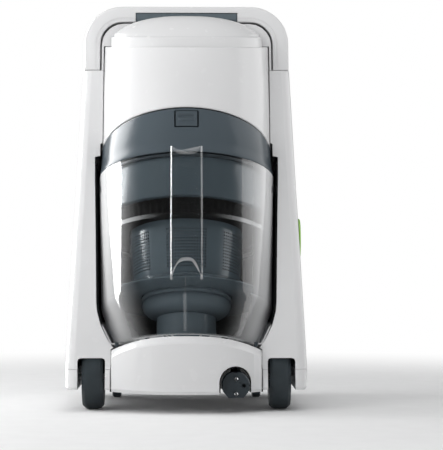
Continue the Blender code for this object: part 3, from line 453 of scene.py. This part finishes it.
def make_bin():
    """Clear bin with a rib inside, two lugs at its sides and a moulding seam down its cone."""
    profile = [(0.0, 0.0), (0.0880, 0.0), (0.0905, 0.0003), (0.0922, 0.0013), (0.0935, 0.0035)]
    profile += curve_points([(0.1112, 0.0485), (0.1124, 0.0525), (0.1132, 0.0565),
                             (0.1135, 0.0605)], 3)
    profile += [(0.1150, 0.1200), (0.1166, 0.1800), (0.1178, 0.2340), (RIM_R, RIM_T),
                (0.1155, RIM_T), (0.1153, 0.2340), (0.1141, 0.1800), (0.1136, 0.1582),
                (0.1118, 0.1576), (0.1116, 0.1520), (0.1132, 0.1514), (0.1125, 0.1200)]
    profile += curve_points([(0.1110, 0.0605), (0.1107, 0.0565), (0.1099, 0.0525),
                             (0.1087, 0.0485)], 3)
    profile += [(0.0915 - BIN_WALL, 0.0050), (0.0870, 0.0030), (0.0, 0.0030)]
    obj = mesh_object("bin_shell_skin", turned(profile, 160), TO_WORLD)
    for side in (1.0, -1.0):
        low, high = sorted((side * 0.1131, side * 0.1218))
        combine(obj, block((low, -0.0275, 0.2120), (high, -0.0227, 0.2210)), "UNION", TO_WORLD)
    left, right = SEAM_X
    seam = []
    for t in (0.0060, 0.0300, 0.0540, 0.0725):
        near, far = -(bin_radius(t) - 0.0008), -(bin_radius(t) - BIN_WALL - 0.0016)
        seam.append([(left, near, t), (right, near, t), (right, far, t), (left, far, t)])
    combine(obj, loft(seam), "UNION", TO_WORLD)
    soften(obj, 0.0, 40.0)
    place(obj, "bin_shell", CLEAR)

    def choose(centre, normal):
        on_seam = (left - 0.0002 < centre.x < right + 0.0002 and -0.118 < centre.y < -0.085
                   and 0.004 < centre.z < 0.074)
        if on_seam and (abs(normal.x) > 0.5 or normal.y > 0.5):
            return CLEAR_EDGE
        if centre.z > 0.2350 and normal.z > 0.5:
            return CLEAR_INSIDE
        toward_axis = normal.x * centre.x + normal.y * centre.y < 0.0
        if RIB_ZONE[0] < centre.z < RIB_ZONE[1]:
            if abs(normal.z) > 0.6:
                return CLEAR_INSIDE
            return CLEAR_RIB if toward_axis else CLEAR
        if toward_axis or (centre.z < 0.006 and normal.z > 0.5):
            return CLEAR_INSIDE
        return CLEAR_CONE if centre.z < CONE_END else CLEAR

    face_slots(obj, [CLEAR_INSIDE, CLEAR_RIB, CLEAR_EDGE, CLEAR_CONE], choose)


GRIP_HALF, GRIP_WALL, GRIP_CORNER = 0.02075, 0.003, 0.007
GRIP_LOW, GRIP_HIGH = 0.0662, 0.2370


def grip_path(shrink, radius, deep):
    """One skin of the grip's section, from foot to foot round its front."""
    half, corner = GRIP_HALF, GRIP_CORNER
    points = [(half - shrink, -(radius + reach)) for reach in (-0.0008, 0.010, 0.018)]
    for k in range(9):
        angle = math.radians(90.0 * k / 8.0)
        points.append((half - corner + (corner - shrink) * math.cos(angle),
                       -(radius + deep - corner) - (corner - shrink) * math.sin(angle)))
    front = -(radius + deep - shrink)
    points += [(x, front) for x in (0.0120, 0.0100, 0.0080, 0.0060, 0.0040, 0.0020)]
    return points + [(0.0, front)] + [(-x, y) for x, y in reversed(points)]


def grip_section(middle, sag, lip, power, width):
    """Ring round the grip's wall, bowed by sag at its middle, and by the lip more on its inside."""
    radius = bin_radius(middle)
    deep = 0.0262 + 0.0036 * min((middle - GRIP_LOW) / 0.09, 1.0)
    outside = grip_path(0.0, radius, deep)
    inside = list(reversed(grip_path(GRIP_WALL, radius, deep)))
    ring = []
    for side, extra in ((outside, 0.0), (inside, lip)):
        for x, y in side:
            near = min(max(-(y + radius) / (deep - GRIP_WALL), 0.0), 1.0)
            bow = 1.0 - min(abs(x) / (width * GRIP_HALF), 1.0) ** power
            ring.append((x, y, middle + (sag + extra) * bow * near ** 0.5))
    return ring


def make_grip():
    """Clear U-shaped grip down the front of the bin, its top end scooped, its bottom end arched."""
    rings = [grip_section(GRIP_LOW, 0.0215, -0.0035, 3.2, 0.84),
             grip_section(0.105, 0.003, 0.0, 3.2, 0.84),
             grip_section(0.140, 0.0, 0.0, 2.0, 1.0),
             grip_section(0.195, 0.0, 0.0, 2.0, 1.0),
             grip_section(GRIP_HIGH, -0.0084, -0.0045, 3.6, 1.0)]
    obj = mesh_object("bin_grip_skin", loft(rings), TO_WORLD)
    soften(obj, 0.0, 50.0)
    place(obj, "bin_grip", CLEAR_GRIP)

    def choose(centre, normal):
        if abs(normal.z) > 0.45:
            return CLEAR_EDGE
        outward = normal.x * centre.x - normal.y * (0.10 if centre.y < -0.13 else 0.0)
        return CLEAR_GRIP if outward > 0.0 else CLEAR_INSIDE

    face_slots(obj, [CLEAR_INSIDE, CLEAR_EDGE], choose)


LID_LOW = 0.2379


def lid_plane(y):
    """Height of the lid's sloping top."""
    return 0.2716 - 0.24 * y


def below_top(radius, drop, ceiling=None):
    """Ring of the lid this far below its top, and no higher than the ceiling."""
    if ceiling is None:
        return circle(radius, lambda y: lid_plane(y) - drop)
    return circle(radius, lambda y: min(ceiling, lid_plane(y) - drop))


def make_lid():
    """Hollow lid with a level rim, a sloping top and a pocket for the latch."""
    outer = [circle(0.1173, lambda y: LID_LOW), circle(0.1179, lambda y: LID_LOW + 0.0006),
             circle(0.1178, lambda y: LID_LOW + 0.004), below_top(0.1166, 0.0035, 0.2480),
             below_top(0.1158, 0.0026, 0.2560), below_top(0.1156, 0.0020),
             below_top(0.1152, 0.0008), below_top(0.1144, 0.0002), circle(0.1134, lid_plane)]
    inner = [circle(0.1150, lambda y: LID_LOW), circle(0.1150, lambda y: LID_LOW + 0.0010),
             below_top(0.1126, 0.0055, 0.2495), below_top(0.1126, 0.0035),
             below_top(0.1116, 0.0030)]
    bm = bmesh.new()
    out = add_loft(bm, outer, (False, True))
    inn = add_loft(bm, inner, (False, True))
    for i in range(len(out[0])):
        j = (i + 1) % len(out[0])
        bm.faces.new((out[0][i], out[0][j], inn[0][j], inn[0][i]))
    obj = mesh_object("bin_lid_skin", bm, TO_WORLD)
    pocket = mesh_object("pocket", block((-0.0160, -0.130, 0.2722), (0.0160, -0.1055, 0.2958)))
    soften(pocket, 0.0018, 30.0, 4)
    settle(pocket)
    cutter = bmesh.new()
    cutter.from_mesh(pocket.data)
    bpy.data.objects.remove(pocket, do_unlink=True)
    combine(obj, cutter, "DIFFERENCE", TO_WORLD)
    soften(obj, 0.0004, 38.0, 2)
    place(obj, "bin_lid", SLATE)


LATCH_BACK, LATCH_FACE = 0.1118, 0.1150
LATCH_LOW, LATCH_HIGH = 0.2741, 0.2951
LATCH_HALF_ANGLE = 0.1245
LATCH_ROWS, LATCH_COLUMNS = 40, 36


def latch_face(u, v):
    """Radius of the latch's face, across from -1 to 1 and up from 0 to 1."""
    across = max(0.0, 1.0 - (abs(u) / 0.78) ** 8)
    ridge = math.exp(-((v - 0.46) / 0.105) ** 4)
    scoop = math.exp(-((v - 0.66) / 0.11) ** 2)
    return LATCH_FACE + across * (0.0021 * ridge - 0.0018 * scoop)


def make_latch():
    """Curved button with a finger ridge across it and a shallow scoop above the ridge."""
    rings = []
    for j in range(LATCH_ROWS + 1):
        v = j / LATCH_ROWS
        t = LATCH_LOW + (LATCH_HIGH - LATCH_LOW) * v
        front, back = [], []
        for k in range(LATCH_COLUMNS + 1):
            u = 2.0 * k / LATCH_COLUMNS - 1.0
            sin, cos = math.sin(LATCH_HALF_ANGLE * u), math.cos(LATCH_HALF_ANGLE * u)
            radius = latch_face(u, v)
            front.append((radius * sin, -radius * cos, t))
            back.append((LATCH_BACK * sin, -LATCH_BACK * cos, t))
        rings.append(front + list(reversed(back)))
    obj = mesh_object("latch_button_skin", loft(rings), TO_WORLD)
    soften(obj, 0.0005, 50.0, 3)
    place(obj, "latch_button", SLATE)


PLEAT_POINTS = 288
FILTER_INNER = 0.0740


def make_filter():
    """Foam ring with fine pleats round its outside."""
    rings = []
    for t, outer in ((0.1600, 0.1003), (0.1604, 0.1005), (0.1700, 0.1022), (0.1795, 0.1039),
                     (0.1799, 0.1037)):
        ring = []
        for k in range(PLEAT_POINTS):
            angle = 2.0 * math.pi * k / PLEAT_POINTS
            radius = outer - (0.0009 if k % 4 < 2 else 0.0)
            ring.append((radius * math.cos(angle), radius * math.sin(angle), t))
        rings.append(ring)
    bm = bmesh.new()
    out = add_loft(bm, rings, (False, False))
    inn = add_loft(bm, [circle(FILTER_INNER, lambda y: rings[0][0][2], PLEAT_POINTS),
                        circle(FILTER_INNER, lambda y: rings[-1][0][2], PLEAT_POINTS)],
                   (False, False))
    for top, low in ((out[0], inn[0]), (out[-1], inn[-1])):
        for i in range(PLEAT_POINTS):
            j = (i + 1) % PLEAT_POINTS
            bm.faces.new((top[i], top[j], low[j], low[i]))
    obj = mesh_object("pre_filter_skin", bm, TO_WORLD)
    soften(obj, 0.0, 40.0)
    place(obj, "pre_filter", FOAM)


def make_cyclone():
    """The turned parts inside the bin, from the lid's gasket down to the tube, and the filter."""
    gasket = [(0.1110, 0.2330), (0.1149, 0.2330), (0.1149, 0.2370), (0.1110, 0.2370)]
    turned_piece("lid_gasket", rounded(gasket, 0.0008), SLATE_DARK)
    collar = [(0.1100, 0.2370), (0.1075, 0.2370), (0.1075, 0.1830), (0.0780, 0.1830),
              (0.0780, 0.1803), (0.1100, 0.1803)]
    collar_corners = [0.0006, 0.0006, 0.0010, 0.0006, 0.0006, 0.0022]
    turned_piece("cyclone_collar", rounded(collar, collar_corners), SLATE_INNER)
    make_filter()
    skirt = [(0.0602, 0.0880), (0.0602, 0.0718), (0.1068, 0.0708), (0.1080, 0.0722),
             (0.0740, 0.0880)]
    skirt_corners = [0.0004, 0.0004, 0.0008, 0.0006, 0.0020]
    turned_piece("cyclone_skirt", rounded(skirt, skirt_corners), SLATE_PAINTED_LIT)
    outside = curve_points([
        (0.0400, 0.0434), (0.0462, 0.0448), (0.0520, 0.0477), (0.0562, 0.0512), (0.0587, 0.0556),
        (0.0597, 0.0602), (0.0590, 0.0640), (0.0574, 0.0662), (0.0572, 0.0672), (0.0596, 0.0684),
        (0.0598, 0.0702), (0.0590, 0.0720), (0.0586, 0.0852)])
    inside = curve_points([(0.0560, 0.0852), (0.0560, 0.0700), (0.0572, 0.0620), (0.0556, 0.0560),
                           (0.0500, 0.0500), (0.0375, 0.0456)])
    turned_piece("dust_bowl", inside + [(0.0375, 0.0434)] + outside, SLATE_PAINTED_LIT)
    tube = [(0.0375, 0.0430), (0.0375, 0.0034), (0.0400, 0.0034), (0.0400, 0.0430)]
    turned_piece("dust_tube", rounded(tube, 0.0005), SLATE_PAINTED_LIT)


SHROUD_LOW, SHROUD_HIGH = 0.0884, 0.1595
SHROUD_THICK = 0.0018
HOLE_COLUMNS, HOLE_ROWS = 15, 13
HOLE_STEP = math.radians(2.76)
HOLE_LOW, HOLE_PITCH, HOLE_R = 0.0967, 0.00412, 0.00118


def shroud_radius(t):
    """The shroud's outer radius at height t."""
    return 0.0730 + (0.0776 - 0.0730) * (t - SHROUD_LOW) / (SHROUD_HIGH - SHROUD_LOW)


def shroud_columns():
    """Angles round the shroud, as (start, stop, whether holes go here), for six blocks."""
    columns = []
    gap = math.radians(60.0) - HOLE_STEP * HOLE_COLUMNS
    for part in range(6):
        middle = math.radians(-90.0 + 60.0 * part)
        edges = [middle + HOLE_STEP * (k - HOLE_COLUMNS / 2.0) for k in range(HOLE_COLUMNS + 1)]
        columns += [(low, high, True) for low, high in zip(edges, edges[1:])]
        columns += [(edges[-1] + gap * k / 5.0, edges[-1] + gap * (k + 1) / 5.0, False)
                    for k in range(5)]
    return columns


def shroud_levels():
    """Heights up the shroud, as (start, stop, whether holes go here)."""
    levels = [(SHROUD_LOW, HOLE_LOW - HOLE_PITCH / 2.0, False)]
    levels += [(HOLE_LOW + HOLE_PITCH * (k - 0.5), HOLE_LOW + HOLE_PITCH * (k + 0.5), True)
               for k in range(HOLE_ROWS)]
    levels.append((levels[-1][1], SHROUD_HIGH - 0.0009, False))
    levels.append((SHROUD_HIGH - 0.0009, SHROUD_HIGH, False))
    return levels


def make_shroud():
    """Cone-shaped screen with six blocks of real holes, and painted shade: black on its inside and
    in its holes, standing in for the shade within it.
    """
    bm = bmesh.new()
    made = {}

    def vert(angle, t, depth):
        key = (round(math.degrees(angle) % 360.0, 4) % 360.0, round(t, 6), depth)
        if key not in made:
            radius = shroud_radius(t) - SHROUD_THICK * depth
            if t > SHROUD_HIGH - 0.0001 and depth == 0:
                radius -= 0.0005
            made[key] = bm.verts.new((radius * math.cos(angle), radius * math.sin(angle), t))
        return made[key]

    def face(corners, depth):
        bm.faces.new(corners).material_index = depth

    def holed(corners, angle, t, depth):
        """Faces from the cell's corners to its hole, and the hole's rim."""
        rim = []
        for k in range(8):
            turn = math.radians(-112.5 + 45.0 * k)
            rim.append(vert(angle + HOLE_R * math.cos(turn) / shroud_radius(t),
                            t + HOLE_R * math.sin(turn), depth))
        for k in range(4):
            corner = corners[(k + 1) % 4]
            face((corners[k], corner, rim[2 * k + 1], rim[2 * k]), depth)
            face((corner, rim[(2 * k + 2) % 8], rim[2 * k + 1]), depth)
        return rim

    for a0, a1, in_block in shroud_columns():
        for t0, t1, in_rows in shroud_levels():
            rims = []
            for depth in (0, 1):
                corners = [vert(a0, t0, depth), vert(a1, t0, depth),
                           vert(a1, t1, depth), vert(a0, t1, depth)]
                if in_block and in_rows:
                    rims.append(holed(corners, (a0 + a1) / 2.0, (t0 + t1) / 2.0, depth))
                else:
                    face(corners, depth)
            if rims:
                for k in range(8):
                    j = (k + 1) % 8
                    face((rims[0][k], rims[0][j], rims[1][j], rims[1][k]), 1)
        for t in (SHROUD_LOW, SHROUD_HIGH):
            face((vert(a0, t, 0), vert(a1, t, 0), vert(a1, t, 1), vert(a0, t, 1)), 0)
    # Faces on the inside and in the holes carry painted shade: black for the shade within the
    # shroud.
    inside = [polygon.material_index for polygon in bm.faces]
    obj = mesh_object("filter_shroud_skin", bm, TO_WORLD)
    soften(obj, 0.0, 35.0)
    place(obj, "filter_shroud", SLATE_INNER)
    obj.data.materials.append(BLACK)
    obj.data.polygons.foreach_set("material_index", inside)


LEDGE_HALF, LEDGE_TOP = 0.1020, 0.4909
DOME_STEPS, DOME_RISE = 25, 0.0360


def cover_back(z):
    """Where the top cover meets the casings, behind the depth offset."""
    return casing_front(z) - DEPTH_OFFSET - 0.0014


def cover_outline(half, front, back, z, rise):
    """Ring with a squared half-round front, rising toward its back."""
    ring = []
    for k in range(61):
        angle = math.pi * k / 60.0
        cos, sin = math.cos(angle), math.sin(angle)
        x = half * math.copysign(abs(cos) ** 0.85, cos)
        y = DEPTH_OFFSET + back + (front - back) * abs(sin) ** 0.85
        ring.append((x, y, z + rise * (y - front - DEPTH_OFFSET)))
    return ring


def make_top_cover():
    """Shallow ledge wall with a lower dome set back on it."""
    rings = [cover_outline(0.1036, -0.0516, cover_back(0.484), 0.4766, 0.105),
             cover_outline(0.1030, -0.0510, cover_back(0.492), 0.4886, 0.105),
             cover_outline(0.1026, -0.0506, cover_back(0.493), 0.4900, 0.105),
             cover_outline(0.1018, -0.0498, cover_back(0.494), 0.4907, 0.105),
             cover_outline(0.1000, -0.0480, cover_back(0.494), LEDGE_TOP, 0.100)]
    for k in range(1, DOME_STEPS):
        share = k / DOME_STEPS
        half = LEDGE_HALF * (1.0 - share ** 1.3) ** (1.0 / 3.5)
        front = 0.020 - 0.0675 * (1.0 - share) ** 0.62
        z = LEDGE_TOP + DOME_RISE * share
        rings.append(cover_outline(min(half, 0.0995), front, cover_back(z + 0.002), z,
                                   0.100 * (1.0 - share)))
    obj = mesh_object("top_cover_skin", loft(rings))
    soften(obj, 0.0, 40.0)
    place(obj, "top_cover", WHITE)


def arch(half, base, top, corner, steps=14):
    """Arch outline in X and Z, from one foot to the other."""
    points = [(half, base)]
    for k in range(steps + 1):
        angle = math.radians(90.0 * k / steps)
        points.append((half - corner + corner * math.cos(angle),
                       top - corner + corner * math.sin(angle)))
    return points + [(-x, z) for x, z in reversed(points)]


HANDLE_HALF, HANDLE_TOP, HANDLE_BASE = 0.140, 0.544, 0.4536
HANDLE_BAND, HANDLE_CORNER = 0.0215, 0.052
GRIP_SLOT_HALF = 0.0703


def on_casing(points, deep):
    """Points in X and Z laid this deep on the casings' leaning front."""
    return [(x, casing_front(z) + deep, z) for x, z in points]


def handle_outline(shrink):
    """The band's outer and inner arches as one loop, drawn in by shrink."""
    base = HANDLE_BASE + shrink
    outer = arch(HANDLE_HALF - shrink, base, HANDLE_TOP - shrink, HANDLE_CORNER - shrink)
    inner = arch(HANDLE_HALF - HANDLE_BAND + shrink, base,
                 HANDLE_TOP - HANDLE_BAND - 0.0005 + shrink,
                 HANDLE_CORNER - HANDLE_BAND + shrink)
    return outer + list(reversed(inner))


def groove_arch(out, up):
    """One edge of the contour groove, this far outside the band's inner edge."""
    return arch(HANDLE_HALF - HANDLE_BAND + out, HANDLE_BASE - 0.002,
                HANDLE_TOP - HANDLE_BAND + up, HANDLE_CORNER - HANDLE_BAND + out)


def make_handle():
    """U-shaped band with a fine contour groove beside its inner edge."""
    layers = ((0.0, 0.0020), (0.0006, 0.0008), (0.0020, 0.0), (0.0280, 0.0), (0.0310, 0.0030))
    obj = mesh_object("handle_bar_skin", loft([on_casing(handle_outline(shrink), deep)
                                               for deep, shrink in layers]))
    groove = groove_arch(0.0059, 0.0054) + list(reversed(groove_arch(0.0050, 0.0045)))
    combine(obj, loft([on_casing(groove, -0.0010), on_casing(groove, 0.0008)]))
    under = HANDLE_TOP - HANDLE_BAND
    combine(obj, block((-GRIP_SLOT_HALF, -0.030 + DEPTH_OFFSET, under - 0.010),
                       (GRIP_SLOT_HALF, 0.090 + DEPTH_OFFSET, under + 0.0128)))
    soften(obj, 0.0, 32.0)
    place(obj, "handle_bar", WHITE)


# The plug's notches: where each is, and how wide and high.
PLUG_NOTCHES = ((0.0630, 0.0538, 0.0046, 0.0046), (0.0447, 0.0352, 0.0034, 0.0026),
                (0.0813, 0.0352, 0.0034, 0.0026))
NOTCH_FRONT, NOTCH_BACK = -0.152, -0.139


def make_plug():
    """Plug body with a key notch at the top and a small notch at each side."""
    obj = mesh_object("plug_body_skin", merged_copy("plug_body"))
    for x, z, wide, high in PLUG_NOTCHES:
        combine(obj, block((x - wide / 2.0, NOTCH_FRONT, z - high / 2.0),
                           (x + wide / 2.0, NOTCH_BACK, z + high / 2.0)))
    soften(obj, 0.0005)
    place(obj, "plug_body", SLATE_DARK)


make_bin()
make_grip()
make_lid()
make_latch()
make_cyclone()
make_shroud()
make_top_cover()
make_handle()
make_plug()

# ---------------------------------------------------------------- the other pieces

# CAD nodes replaced by their own shape with rounded edges, and how wide the rounding is.
REFINED = (
    ("chassis_pan", WHITE, 0.0010), ("side_casing_left", WHITE, 0.0012),
    ("side_casing_right", WHITE, 0.0012), ("rear_cover", WHITE, 0.0008),
    ("rear_housing", WHITE, 0.0010), ("upper_body", WHITE, 0.0008), ("hood", WHITE, 0.0022),
    ("front_bumper", WHITE, 0.0015), ("handle_grip", SLATE_GRIP, 0.0020),
    # The bin bay gets painted shade and painted light.
    ("plug_cup", BLACK, 0.0003), ("bin_bay", BAY_PAINTED_SHADE_AND_LIGHT, 0.0004), ("bin_rest_left", SLATE_DARK, 0.0008),
    ("bin_rest_right", SLATE_DARK, 0.0008), ("wheel_tyre_left", TYRE, 0.0006),
    ("wheel_tyre_right", TYRE, 0.0006), ("wheel_hub_left", SLATE, 0.0006),
    ("wheel_hub_right", SLATE, 0.0006), ("plug_pin_upper", STEEL, 0.0003),
    ("plug_pin_lower", STEEL, 0.0003), ("exhaust_grille", SLATE_INNER, 0.0),
    ("power_button", GREEN, 0.0005), ("rewind_button", SLATE, 0.0005),
    ("solution_tank", TANK, 0.0010), ("tank_cap", SLATE, 0.0006),
    ("hose_port_ring", GREEN, 0.0005))

# CAD nodes that stay as they are and only get a material.
KEPT = {
    BLACK: ("motor_case", "pump_body", "reel_drum", "hose_port_duct", "caster_cup_left",
            "caster_cup_right", "caster_fork_left", "caster_fork_right"),
    STEEL: ("fan_impeller", "handle_rod_left", "handle_rod_right", "caster_pin_left",
            "caster_pin_right", "wheel_axle_left", "wheel_axle_right"),
    CORD: ("cord_winding", "mains_lead"),
    TYRE: ("caster_wheel_left", "caster_wheel_right"),
    PAPER: ("exhaust_filter",),
    BOARD: ("circuit_board",),
}

for cad_node in frame["nodes"].values():
    cad_node.data.materials.clear()
for name, material, width in REFINED:
    refined(name, material, width)
for material, names in KEPT.items():
    for name in names:
        frame["nodes"][name].data.materials.append(material)

# ---------------------------------------------------------------- camera

CAMERA_DISTANCE, CAMERA_HEIGHT = 2.565, 0.217
CAMERA_PITCH, CAMERA_YAW = math.radians(90.544), math.radians(-1.0575)

scene = bpy.context.scene
camera = bpy.data.objects.new("camera", bpy.data.cameras.new("camera"))
scene.collection.objects.link(camera)
camera.data.lens = 151.7
camera.data.sensor_width = 36.0
camera.location = (0.0, -CAMERA_DISTANCE + DEPTH_OFFSET, CAMERA_HEIGHT)
camera.rotation_euler = (CAMERA_PITCH, 0.0, CAMERA_YAW)
camera.data.clip_start = 0.05
camera.data.clip_end = 60.0
scene.camera = camera

# ---------------------------------------------------------------- light and floor


def area_light(name, spot, target, size, power, in_gloss):
    """Light that shapes the surfaces, or a panel that is only seen in reflections."""
    lamp = bpy.data.lights.new(name, "AREA")
    lamp.shape = "RECTANGLE"
    lamp.size, lamp.size_y = size
    lamp.energy = power
    obj = bpy.data.objects.new(name, lamp)
    scene.collection.objects.link(obj)
    obj.location = spot
    obj.rotation_euler = (Vector(target) - Vector(spot)).to_track_quat("-Z", "Y").to_euler()
    obj.visible_camera = False
    obj.visible_glossy = in_gloss
    obj.visible_diffuse = not in_gloss


for light in (
        ("key_left", (-1.25, 0.05, 0.80), (0.0, 0.0, 0.22), (0.7, 0.7), 8.0, False),
        ("key_front", (-1.00, -1.00, 1.00), (0.0, 0.0, 0.30), (0.7, 0.7), 5.5, False),
        ("top", (-0.05, 0.10, 1.90), (0.0, 0.0, 0.2), (2.2, 2.2), 11.5, False),
        ("fill_right", (1.10, -0.30, 1.60), (0.0, 0.0, 0.45), (0.8, 0.8), 3.2, False),
        ("low_front", (0.0, -1.00, 0.04), (0.0, 0.0, 0.22), (1.2, 0.3), 0.8, False),
        ("panel_left", (-1.25, 0.92, 0.70), (-0.25, 0.92, 0.70), (1.6, 1.84), 165.0, True),
        ("panel_right", (1.35, 0.55, 0.60), (0.25, 0.55, 0.60), (1.6, 2.2), 28.0, True)):
    area_light(*light)

world = bpy.data.worlds.new("studio")
scene.world = world
world.use_nodes = True
tree = world.node_tree
tree.nodes.clear()


def background(color, strength):
    node = tree.nodes.new("ShaderNodeBackground")
    node.inputs["Color"].default_value = color
    node.inputs["Strength"].default_value = strength
    return node.outputs[0]


def mixed(share, first, second):
    node = tree.nodes.new("ShaderNodeMixShader")
    for socket, value in enumerate((share, first, second)):
        tree.links.new(value, node.inputs[socket])
    return node.outputs[0]


# The backdrop is white to the camera, dim in reflections and soft as a fill light.
SOFT_WHITE = (0.98, 0.99, 1.0, 1.0)
ray = tree.nodes.new("ShaderNodeLightPath").outputs
seen, fill = background(PURE_WHITE, 1.0), background(SOFT_WHITE, 0.31)
reflected = background(SOFT_WHITE, 0.06)
backdrop = mixed(ray["Is Camera Ray"], mixed(ray["Is Glossy Ray"], fill, reflected), seen)
world_out = tree.nodes.new("ShaderNodeOutputWorld")
tree.links.new(backdrop, world_out.inputs["Surface"])


def floor_material():
    """White floor that melts into the white backdrop away from the machine."""
    n = Nodes("floor_white")
    base = n.tint(n.spread(n.noise(30.0, 3.0), 0.0, 1.0), (0.90, 0.90, 0.90), (0.93, 0.93, 0.93))
    matte = n.add("BsdfDiffuse", {"Color": base}).outputs["BSDF"]
    glow = n.add("Emission", {"Color": PURE_WHITE, "Strength": 1.0}).outputs["Emission"]
    radius = n.add("VectorMath", {0: n.coords}, operation="LENGTH").outputs["Value"]
    return n.finish(n.blend(n.smooth(radius, 0.45, 1.3), matte, glow))


FLOOR_R, FLOOR_THICK = 30.0, 0.01
floor = mesh_object("floor", turned([(0.0, 0.0), (FLOOR_R, 0.0), (FLOOR_R, -FLOOR_THICK),
                                     (0.0, -FLOOR_THICK)], 96))
floor.data.materials.append(floor_material())
floor.visible_glossy = False

scene.view_settings.view_transform = "Standard"
scene.view_settings.look = "None"
scene.cycles.transparent_max_bounces = 24
